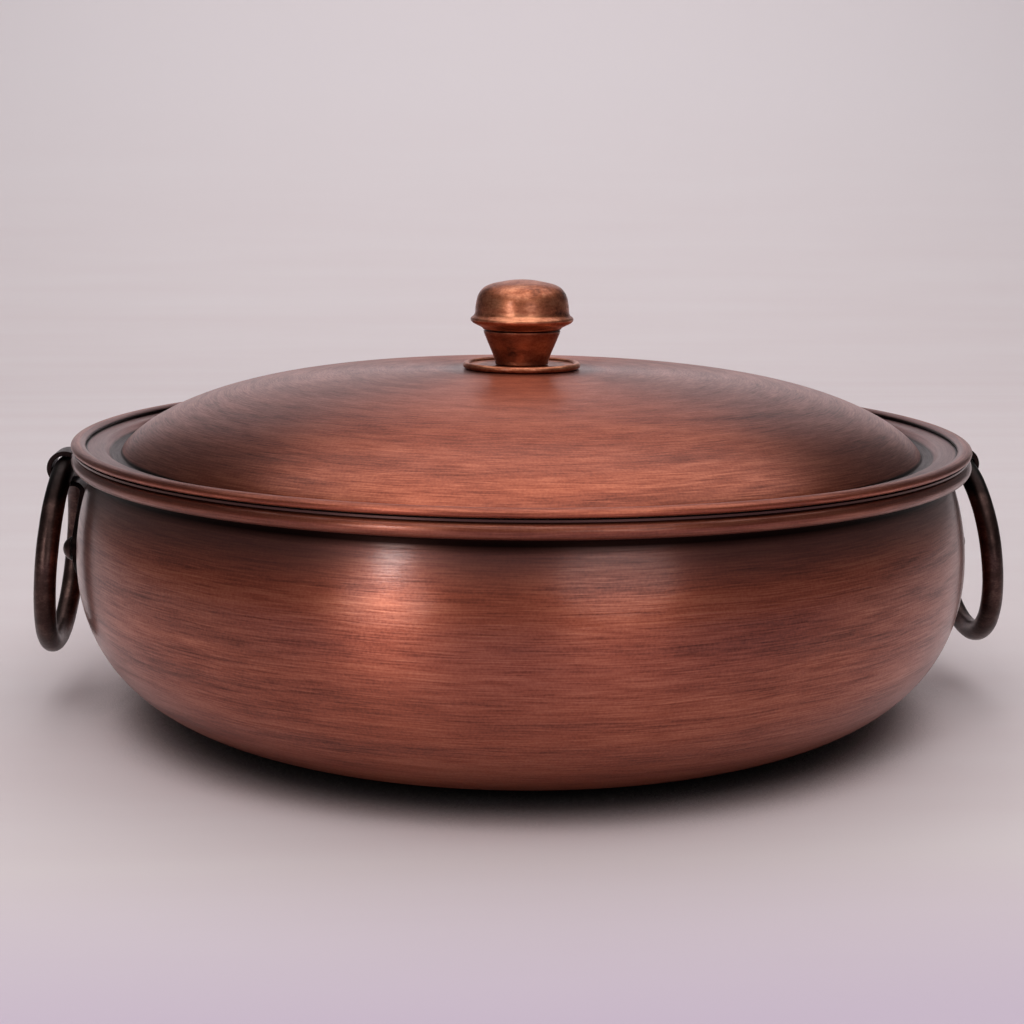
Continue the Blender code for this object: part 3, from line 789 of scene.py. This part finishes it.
def cap_line():
    """The cap from the middle of its top, over its lip and up into its screw hole."""
    # Each point is a radius and a drop from the top: the crown, the side, the lip and the underside
    crown = [(0.0, 0.0), (4.2, 0.28), (7.7, 0.95), (9.4, 1.3), (10.9, 1.7), (13.3, 2.8)]
    side = [(15.1, 5.3), (15.85, 8.9), (15.9, 11.2)]
    lip = [(16.3, 12.1), (17.4, 12.9), (17.5, 13.7), (16.8, 14.6)]
    under = [(14.6, 15.6), (13.4, 16.3), (13.3, CAP_HEIGHT), (CAP_BORE, CAP_HEIGHT)]
    outside = rounded([(r, CAP_TOP - drop) for r, drop in crown + side + lip + under], 1.7)
    return outside + [(CAP_BORE, CAP_LOW + CAP_BORE_DEPTH), (0.0, CAP_LOW + CAP_BORE_DEPTH)]


knob_pieces = [
    (turned("knob_foot_plate", plate_line(), 96, knob_copper, closed=True), "knob_plate"),
    (turned("knob_cast_stem", stem_line(), 96, knob_copper, closed=True), "knob_stem"),
    (turned("knob_cast_cap", cap_line(), 96, knob_copper), "knob_cap"),
]
for piece, node in knob_pieces:
    stands_for(piece, "lid_body", "knob_copper", node)


# %% [markdown]
# ## Screw and washer
#
# A pan-head screw and a washer hold the knob from below. They show only when the lid is lifted. The
# washer is a closed outline, and the screw runs from its tip down to the middle of its head.

# %% Screw and washer
WASHER_TOP = DOME_TOP - LID_SHEET - GAP
WASHER_LOW = WASHER_TOP - 1.0
WASHER_RADIUS = 6.0
SCREW_RADIUS = 2.0
SCREW_TIP = CAP_LOW + CAP_BORE_DEPTH - 2.0
SCREW_HEAD_RADIUS = 4.0
SCREW_HEAD_TOP = WASHER_LOW - GAP
SCREW_HEAD_LOW = SCREW_HEAD_TOP - 2.6


def washer_line():
    """The washer's closed outline. The first corner lies along its top."""
    line = [(4.0, WASHER_TOP), (WASHER_RADIUS, WASHER_TOP), (WASHER_RADIUS, WASHER_LOW)]
    return rounded(line + [(CAP_BORE, WASHER_LOW), (CAP_BORE, WASHER_TOP)], 0.2, 2)


def screw_line():
    """The screw from its tip to the middle of its head."""
    line = [(0.0, SCREW_TIP), (SCREW_RADIUS - 0.4, SCREW_TIP), (SCREW_RADIUS, SCREW_TIP - 0.5)]
    line += [(SCREW_RADIUS, SCREW_HEAD_TOP), (SCREW_HEAD_RADIUS, SCREW_HEAD_TOP)]
    line += [(SCREW_HEAD_RADIUS - 0.2, SCREW_HEAD_TOP - 1.4), (SCREW_RADIUS + 0.6, SCREW_HEAD_LOW)]
    return rounded(line + [(0.0, SCREW_HEAD_LOW)], 0.3, 3)


washer = turned("knob_washer_disc", washer_line(), 48, plain_steel, closed=True)
stands_for(washer, "lid_body", "screw_steel", "knob_washer")
screw = turned("knob_fixing_screw", screw_line(), 48, plain_steel)
stands_for(screw, "lid_body", "screw_steel", "knob_screw")


# %% [markdown]
# ## Rods bent into rings
#
# The two handles and the wires inside the rims are all one thing: a rod swept round a circle. Geometry
# Nodes make them from one tree with named sizes. A slow noise moves the handles' surface by a few
# hundredths of a millimetre, the way forged rod is never quite even. The tree ends in Realize Instances
# and Set Material, and the result is kept as a plain mesh.

# %% Rod ring tree
NOISE_TOP = 0.72
UNEVEN_SCALE = 90.0


def new_geometry_tree(name, sizes):
    """A geometry tree with a mesh in and out, named sizes and a material."""
    tree = bpy.data.node_groups.new(name, "GeometryNodeTree")
    tree.interface.new_socket("Geometry", in_out="OUTPUT", socket_type="NodeSocketGeometry")
    tree.interface.new_socket("Geometry", in_out="INPUT", socket_type="NodeSocketGeometry")
    for size_name, kind, value in sizes:
        socket = tree.interface.new_socket(size_name, in_out="INPUT", socket_type=kind)
        socket.default_value = value
    tree.interface.new_socket("Material", in_out="INPUT", socket_type="NodeSocketMaterial")
    return tree, tree.nodes.new("NodeGroupInput").outputs


def end_tree(tree, geometry, material):
    """Ends a geometry tree: its copies made real, and its material set."""
    real = add_node(tree, "GeometryNodeRealizeInstances", {"Geometry": geometry}).outputs[0]
    painted = add_node(tree, "GeometryNodeSetMaterial", {"Geometry": real, "Material": material})
    out = tree.nodes.new("NodeGroupOutput")
    tree.links.new(painted.outputs[0], out.inputs["Geometry"])


def circle_curve(tree, points, radius):
    """A circle with a number of points and a radius."""
    inputs = {"Resolution": points, "Radius": radius}
    return add_node(tree, "GeometryNodeCurvePrimitiveCircle", inputs).outputs[0]


def make_rod_ring_tree():
    """A geometry tree: a circle swept with a round rod, slightly uneven."""
    sizes = (
        ("Ring Radius", NUMBER, 0.03),
        ("Rod Radius", NUMBER, 0.003),
        ("Points Around", "NodeSocketInt", 96),
        ("Points Across", "NodeSocketInt", 24),
        ("Unevenness", NUMBER, 0.0),
        ("Seed", NUMBER, 0.0),
    )
    tree, given = new_geometry_tree("rod_ring", sizes)
    path = circle_curve(tree, given["Points Around"], given["Ring Radius"])
    rod = circle_curve(tree, given["Points Across"], given["Rod Radius"])
    swept = add_node(tree, "GeometryNodeCurveToMesh", {"Curve": path, "Profile Curve": rod}).outputs[0]
    noise = noise_node(tree, "4D", Scale=UNEVEN_SCALE, Detail=1.0, W=given["Seed"])
    # The noise stays below its top, so the surface only moves inwards
    below = math_node(tree, "SUBTRACT", noise, NOISE_TOP)
    reach = math_node(tree, "MULTIPLY", below, given["Unevenness"])
    normal = tree.nodes.new("GeometryNodeInputNormal").outputs[0]
    scaled = {0: normal, "Scale": reach}
    offset = add_node(tree, "ShaderNodeVectorMath", scaled, operation="SCALE").outputs[0]
    moved = add_node(tree, "GeometryNodeSetPosition", {"Geometry": swept, "Offset": offset})
    end_tree(tree, moved.outputs[0], given["Material"])
    return tree


def tree_socket(tree, name):
    """The identifier of a tree's named input."""
    for item in tree.interface.items_tree:
        if item.in_out == "INPUT" and item.name == name:
            return item.identifier
    raise KeyError(name)


def from_tree(name, tree, base, place, **values):
    """A plain mesh made by a geometry tree, set in its place."""
    made = placed(name, base)
    modifier = made.modifiers.new("made", "NODES")
    modifier.node_group = tree
    for socket, value in values.items():
        modifier[tree_socket(tree, socket.replace("_", " "))] = value
    finished(made, name)
    made.data.transform(place)
    shaded(made)
    return made


rod_ring = make_rod_ring_tree()
print("rod ring:", len(rod_ring.nodes), "nodes")


# %% [markdown]
# ## Ring handles and rim wires
#
# Each handle hangs in the eye of its bracket and leans out a little, the right one more than the left.
# Its place is a turn about the eye followed by the drop from the eye to the ring's middle. The bent rod
# falls a little across the eye's width, so the ring sits half that fall higher, which keeps the rod in
# the middle of the bore. The wire of the bowl's rim is round, and the lid's is squashed to a strip.

# %% Ring handles and rim wires
EYE_X = 153.65
EYE_HEIGHT = 80.0
EYE_BORE = 4.3
STRAP = 1.6
STRAP_HALF = 5.5
RING_RADIUS = 30.2
RING_ROD = 3.6
ROD_FALL = RING_RADIUS - math.sqrt(RING_RADIUS**2 - STRAP_HALF**2)
RING_UNEVENNESS = 0.3
HANDLES = (("left", -1, 5.6), ("right", 1, 7.0))
# Name, body, height, rod radius and how far it is squashed
RIM_WIRES = (
    ("bowl_rim_rod", "bowl_body", BOWL_BEAD_HEIGHT, 0.95, 1.0),
    ("lid_rim_rod", "lid_body", LID_BEAD_HEIGHT, 1.1, 0.27),
)


def ring_place(side, lean):
    """Where a handle goes: hung from the eye, leaning out by some degrees."""
    eye = Matrix.Translation((side * EYE_X * MM, 0.0, EYE_HEIGHT * MM))
    turn = Matrix.Rotation(-side * math.radians(lean), 4, "Y")
    drop = Matrix.Translation((0.0, 0.0, (ROD_FALL / 2 - RING_RADIUS) * MM))
    return eye @ turn @ drop @ Matrix.Rotation(math.radians(90.0), 4, "Y")


for word, side, lean in HANDLES:
    handle = from_tree(
        word + "_forged_ring",
        rod_ring,
        bpy.data.meshes.new(word),
        ring_place(side, lean),
        Ring_Radius=RING_RADIUS * MM,
        Rod_Radius=RING_ROD * MM,
        Points_Around=128,
        Points_Across=28,
        Unevenness=RING_UNEVENNESS * MM,
        Seed=float(side),
        Material=dark_bronze,
    )
    stands_for(handle, word + "_ring_body", "dark_bronze", word + "_ring")

for name, body, height, rod, squash in RIM_WIRES:
    flattened = Matrix.Scale(squash, 4, (0.0, 0.0, 1.0))
    wire = from_tree(
        name,
        rod_ring,
        bpy.data.meshes.new(name),
        Matrix.Translation((0.0, 0.0, height * MM)) @ flattened,
        Ring_Radius=BEAD_CENTRE * MM,
        Rod_Radius=rod * MM,
        Points_Around=240,
        Points_Across=12,
        Material=plain_steel,
    )
    stands_for(wire, body, "rim_wire", name.replace("_rod", "_wire"))


# %% [markdown]
# ## Handle brackets
#
# A bracket is one strap of thick sheet. Its foot is a leaf that lies against the bowl, and its top is
# rolled outwards into an eye round the ring. It could be a box with many cuts, but a strap is a surface
# with a path and a width, so it is built that way: rows of points along the path, spread to the width
# at each row, then Solidify and a small Bevel for the filed edges.

# %% Handle brackets
LEAF_LOW = 41.2
LEAF_TOP = 66.3
LEAF_TIP_HALF = 1.8
LEAF_HALF = 15.0
LEAF_WIDEST = 0.54
LEAF_ROWS = 30
STRAP_COLUMNS = 16
STRAP_BEND = 3.0
EYE_ROLL_END = 118.0
FILED_EDGE = 0.45
FILED_FROM = math.radians(55.0)


def leaf_half_width(share):
    """Half the leaf's width, from its tip at a share of 0 to the strap at 1."""
    if share < LEAF_WIDEST:
        swell = math.sin(math.radians(90.0) * share / LEAF_WIDEST)
        return LEAF_TIP_HALF + (LEAF_HALF - LEAF_TIP_HALF) * swell
    narrowing = math.pi * (share - LEAF_WIDEST) / (1 - LEAF_WIDEST)
    return STRAP_HALF + (LEAF_HALF - STRAP_HALF) * (0.5 + 0.5 * math.cos(narrowing))


def strap_path():
    """The strap's middle line at its centre, as (x, z, half width, lies on the wall)."""
    rows = []
    stand_off = GAP + STRAP / 2
    for i in range(LEAF_ROWS + 1):
        share = i / LEAF_ROWS
        height = LEAF_LOW + (LEAF_TOP - LEAF_LOW) * share
        rows.append((bowl_radius(height) + stand_off, height, leaf_half_width(share), 1.0))
    eye_roll = EYE_BORE + STRAP / 2
    bend_z = EYE_HEIGHT - eye_roll - STRAP_BEND
    bend_x = bowl_radius(bend_z) + stand_off + STRAP_BEND
    free = arc((bend_x, bend_z), STRAP_BEND, 170.0, 90.0, 8)
    free += arc((EYE_X, EYE_HEIGHT), eye_roll, -90.0, EYE_ROLL_END, 26)
    return rows + [(x, z, STRAP_HALF, 0.0) for x, z in free]


def strap_mesh(name, side):
    """The strap's middle surface, its leaf hollowed to fit the bowl."""
    points = []
    faces = []
    rows = strap_path()
    for x, z, half, on_wall in rows:
        for j in range(STRAP_COLUMNS + 1):
            y = half * (2 * j / STRAP_COLUMNS - 1)
            back = (x - math.sqrt(x * x - y * y)) * on_wall
            points.append((side * (x - back) * MM, y * MM, z * MM))
    for i in range(len(rows) - 1):
        for j in range(STRAP_COLUMNS):
            a = i * (STRAP_COLUMNS + 1) + j
            corners = (a, a + 1, a + STRAP_COLUMNS + 2, a + STRAP_COLUMNS + 1)
            faces.append(corners if side < 0 else corners[::-1])
    mesh = bpy.data.meshes.new(name)
    mesh.from_pydata(points, [], faces)
    return mesh


def bracket(name, side):
    """A strap bent along its path and given its thickness and filed edges."""
    made = placed(name, strap_mesh(name, side))
    thickened(made, STRAP)
    edge = made.modifiers.new("filed_edges", "BEVEL")
    edge.width = FILED_EDGE * MM
    edge.segments = 3
    edge.limit_method = "ANGLE"
    edge.angle_limit = FILED_FROM
    finished(made, name)
    made.data.materials.append(dark_bronze)
    made.data.shade_smooth()
    print(name, len(made.data.polygons), "faces")
    return made


for word, side, _ in HANDLES:
    stands_for(bracket(word + "_leaf_bracket", side), "bowl_body", "dark_bronze", word + "_bracket")


# %% [markdown]
# ## Rivets
#
# Two rivets hold each bracket. They are all alike, so one is turned and Geometry Nodes put a copy at each
# of the four places, squared to the wall. The index of a copy gives its side and its row. Washers called
# burrs sit on the rivets inside the bowl, and the same tree places them.

# %% Rivet placing tree
def make_rivet_tree():
    """Copies its own mesh to the four rivet places."""
    sizes = [(name, NUMBER, 0.0) for name in ("Wall Radius", "Height", "Half Angle", "Tilt")]
    tree, given = new_geometry_tree("at_each_rivet", sizes)
    index = tree.nodes.new("GeometryNodeInputIndex").outputs[0]
    side = math_node(tree, "FLOOR", math_node(tree, "DIVIDE", index, 2.0))
    twice = math_node(tree, "MULTIPLY", math_node(tree, "MODULO", index, 2.0), 2.0)
    row = math_node(tree, "SUBTRACT", twice, 1.0)
    half_turns = math_node(tree, "MULTIPLY", side, math.pi)
    angle = math_node(tree, "ADD", half_turns, math_node(tree, "MULTIPLY", row, given["Half Angle"]))
    x = math_node(tree, "MULTIPLY", math_node(tree, "COSINE", angle), given["Wall Radius"])
    y = math_node(tree, "MULTIPLY", math_node(tree, "SINE", angle), given["Wall Radius"])
    spot = add_node(tree, "ShaderNodeCombineXYZ", {0: x, 1: y, 2: given["Height"]}).outputs[0]
    points = add_node(tree, "GeometryNodePoints", {"Count": 4, "Position": spot}).outputs[0]
    turn = add_node(tree, "ShaderNodeCombineXYZ", {0: 0.0, 1: given["Tilt"], 2: angle}).outputs[0]
    rotation = add_node(tree, "FunctionNodeEulerToRotation", {0: turn}).outputs[0]
    copied = {"Points": points, "Instance": given["Geometry"], "Rotation": rotation}
    copies = add_node(tree, "GeometryNodeInstanceOnPoints", copied)
    end_tree(tree, copies.outputs[0], given["Material"])
    return tree


at_each_rivet = make_rivet_tree()
print("at each rivet:", len(at_each_rivet.nodes), "nodes")

# %% Rivets and burrs
RIVET_HEIGHT = 53.7
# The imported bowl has 48 flats to half a turn, and a rivet stands on the middle of a flat
FACET = math.pi / 48
WALL_RADIUS = bowl_radius(RIVET_HEIGHT) * math.cos(FACET)
WALL_SLOPE = bowl_radius(RIVET_HEIGHT - 0.5) - bowl_radius(RIVET_HEIGHT + 0.5)
HEAD_SEAT = BELLY_RADIUS * (1 - math.cos(FACET)) + 2 * GAP + STRAP + 0.06
HEAD_RADIUS = 4.0
HEAD_HEIGHT = 2.8
HEAD_EDGE_ANGLE = 20.5
SHANK_RADIUS = 2.0
SHANK_END = -2.4
TAIL_RADIUS = 3.0
BURR_OUTER = 3.8
BURR_INNER = 2.3
BURR_TOP = -1.3
BURR_LOW = -2.1


def rivet_line():
    """The rivet from the middle of its round head to the middle of its peened tail."""
    ball = (HEAD_RADIUS**2 + HEAD_HEIGHT**2) / (2 * HEAD_HEIGHT)
    line = arc((0.0, HEAD_SEAT + HEAD_HEIGHT - ball), ball, 90.0, HEAD_EDGE_ANGLE, 12)
    line += [(HEAD_RADIUS, HEAD_SEAT - 0.05), (SHANK_RADIUS, HEAD_SEAT - 0.05)]
    line += [(SHANK_RADIUS, SHANK_END), (TAIL_RADIUS, SHANK_END), (TAIL_RADIUS - 0.2, SHANK_END - 0.6)]
    return line + [(TAIL_RADIUS - 0.8, SHANK_END - 1.0), (0.0, SHANK_END - 1.0)]


def burr_line():
    """The burr's closed outline. The first corner lies along its top."""
    line = [(3.0, BURR_TOP), (BURR_OUTER, BURR_TOP), (BURR_OUTER, BURR_LOW)]
    return rounded(line + [(BURR_INNER, BURR_LOW), (BURR_INNER, BURR_TOP)], 0.15, 2)


fasteners = (
    ("rivets", turned("rivet", rivet_line(), 32, dark_bronze), dark_bronze, "dark_bronze", "rivet"),
    ("burrs", turned("burr", burr_line(), 32, plain_steel, closed=True), plain_steel, "screw_steel", "burr"),
)
for name, pattern, material, slot, word in fasteners:
    made = from_tree(
        name,
        at_each_rivet,
        pattern.data,
        Matrix.Identity(4),
        Wall_Radius=WALL_RADIUS * MM,
        Height=RIVET_HEIGHT * MM,
        Half_Angle=FACET,
        Tilt=math.radians(90.0) - math.atan(WALL_SLOPE),
        Material=material,
    )
    bpy.data.objects.remove(pattern)
    nodes = [f"{hand}_{word}_{end}" for hand in ("left", "right") for end in ("front", "back")]
    stands_for(made, "bowl_body", slot, *nodes)


# %% [markdown]
# ## Floor and backdrop
#
# The dish stands on a pale sheet that sweeps up behind it. One swept strip, flat in front and curved
# into a wall, has no corner to show. Its colour drifts a little, with faint streaks across the floor,
# and turns lilac towards the front. Painted shade darkens it far to the sides, and a painted contact
# shadow darkens it close under the dish. The wall is narrower than the floor, so the dish's sides
# mirror less of it.

# %% Floor and backdrop
FLOOR_DARKER = (0.80, 0.70, 0.715, 1.0)
FLOOR_PALER = (0.83, 0.745, 0.76, 1.0)
FLOOR_LILAC = (0.71, 0.59, 0.71, 1.0)
WALL_GREY = (0.84, 0.765, 0.79, 1.0)
STREAK_STRETCH = (3.0, 26.0, 1.0)
# Places in metres between which one colour turns into the next, and the shares that darken it
LILAC_FROM_TO = (-0.16, -0.25)
GREY_FROM_TO = (0.0, 0.3)
# Painted shade far to the sides of the floor
SIDES_CENTRE = 0.12
SIDES_FROM_TO = (0.75, 1.3)
SIDE_SHADE_SHARE = 0.35
# Painted contact shadow close under the dish
CONTACT_REACH = 0.03
CONTACT_OPENNESS = (0.12, 0.5)
CONTACT_SHADOW_SHARE = 0.01
FLOOR_HALF = 3.0
FLOOR_FRONT = -2.6
WALL_LEFT = -0.8
WALL_RIGHT = 1.1
BEND_START = 0.9
BEND_RADIUS = 0.9
WALL_TOP = 3.2


def sweep_material():
    """Pale grey with a hint of mauve, more lilac at the front, and faintly streaked, with painted shade
    far to the sides and a painted contact shadow under the dish.
    """
    made, tree, shader = new_material("backdrop_paper")
    place = add_node(tree, "ShaderNodeTexCoord").outputs["Object"]
    parts = add_node(tree, "ShaderNodeSeparateXYZ", {0: place}).outputs
    long = add_node(tree, "ShaderNodeMapping", {"Vector": place, "Scale": STREAK_STRETCH}).outputs[0]
    streak = noise_node(tree, Vector=long, Scale=1.0, Detail=4.0)
    colour = mix_colours(tree, ranged(tree, streak, 0.3, 0.75), FLOOR_DARKER, FLOOR_PALER)
    colour = mix_colours(tree, ranged(tree, parts[1], *LILAC_FROM_TO), colour, FLOOR_LILAC)
    colour = mix_colours(tree, ranged(tree, parts[2], *GREY_FROM_TO), colour, WALL_GREY)
    # Painted shade: the colour darkens far to the sides
    across = math_node(tree, "ABSOLUTE", math_node(tree, "SUBTRACT", parts[0], SIDES_CENTRE))
    sides = ranged(tree, across, *SIDES_FROM_TO, 1.0, SIDE_SHADE_SHARE)
    colour = mix_colours(tree, 1.0, colour, sides, "MULTIPLY")
    # Painted contact shadow: ambient occlusion darkens the colour close under the dish
    contact = {"Distance": CONTACT_REACH}
    openness = add_node(tree, "ShaderNodeAmbientOcclusion", contact, samples=8).outputs["AO"]
    painted_contact_shadow = ranged(tree, openness, *CONTACT_OPENNESS, CONTACT_SHADOW_SHARE, 1.0)
    colour = mix_colours(tree, 1.0, colour, painted_contact_shadow, "MULTIPLY")
    tree.links.new(colour, shader.inputs["Base Color"])
    shader.inputs["Roughness"].default_value = 0.7
    shader.inputs["Specular IOR Level"].default_value = 0.2
    return made


def make_sweep():
    """The strip: a flat floor, a bend and a narrower wall."""
    bend = arc((BEND_START, BEND_RADIUS), BEND_RADIUS, -90.0, 0.0, 24)
    line = [(FLOOR_FRONT, 0.0), (BEND_START, 0.0)] + bend[1:] + [(BEND_START + BEND_RADIUS, WALL_TOP)]
    points = []
    for y, z in line:
        flat = z == 0.0
        points.append((-FLOOR_HALF if flat else WALL_LEFT, y, z))
        points.append((FLOOR_HALF if flat else WALL_RIGHT, y, z))
    faces = [(2 * i, 2 * i + 1, 2 * i + 3, 2 * i + 2) for i in range(len(line) - 1)]
    mesh = bpy.data.meshes.new("sweep")
    mesh.from_pydata(points, [], faces)
    mesh.materials.append(sweep_material())
    mesh.shade_smooth()
    print("sweep", len(mesh.polygons), "faces")
    return placed("sweep", mesh)


sweep = make_sweep()


# %% [markdown]
# ## Light
#
# Six soft lamps stand round the dish, as in a small studio. A small bright window at the left makes the
# whitish patch on the bowl, and a low panel on each side of the camera makes the broader glows. A front
# box and one overhead light the lid and the floor, and one lights the wall. The world adds a dim fill.

# %% Light
MIDDLE = (0.0, 0.0, 0.07)
WORLD_GREY = (0.80, 0.78, 0.80, 1.0)
WORLD_STRENGTH = 0.11
# Name, place, aim, size across and up, power in watts
LAMPS = (
    ("left_window", (-0.803, -1.147, 0.58), MIDDLE, (0.18, 0.34), 2.1),
    ("left_panel", (-0.85, -1.22, 0.22), MIDDLE, (0.55, 0.50), 2.0),
    ("right_panel", (0.45, -1.40, 0.46), MIDDLE, (0.72, 0.70), 2.3),
    ("front_box", (-0.1, -0.95, 1.38), MIDDLE, (1.9, 0.9), 5.5),
    ("overhead_box", (0.14, 0.1, 1.55), (0.14, 0.1, 0.0), (3.0, 1.8), 17.8),
    ("wall_light", (0.1, 0.95, 1.35), (0.1, 1.8, 0.30), (2.2, 0.4), 5.3),
)


def soft_lamp(name, place, aim, size, power):
    """An oval lamp pointed at a spot."""
    lamp = bpy.data.lights.new(name, "AREA")
    lamp.shape = "ELLIPSE"
    lamp.size = size[0]
    lamp.size_y = size[1]
    lamp.energy = power
    made = placed(name, lamp)
    made.location = place
    made.rotation_euler = (Vector(aim) - Vector(place)).to_track_quat("-Z", "Y").to_euler()


for lamp_values in LAMPS:
    soft_lamp(*lamp_values)
world = bpy.data.worlds.new("studio")
bpy.context.scene.world = world
world.use_nodes = True
set_inputs(world.node_tree.nodes["Background"], ("Color", "Strength"), (WORLD_GREY, WORLD_STRENGTH))
bpy.context.scene.view_settings.view_transform = "Standard"
print("lamps:", [lamp_values[0] for lamp_values in LAMPS])
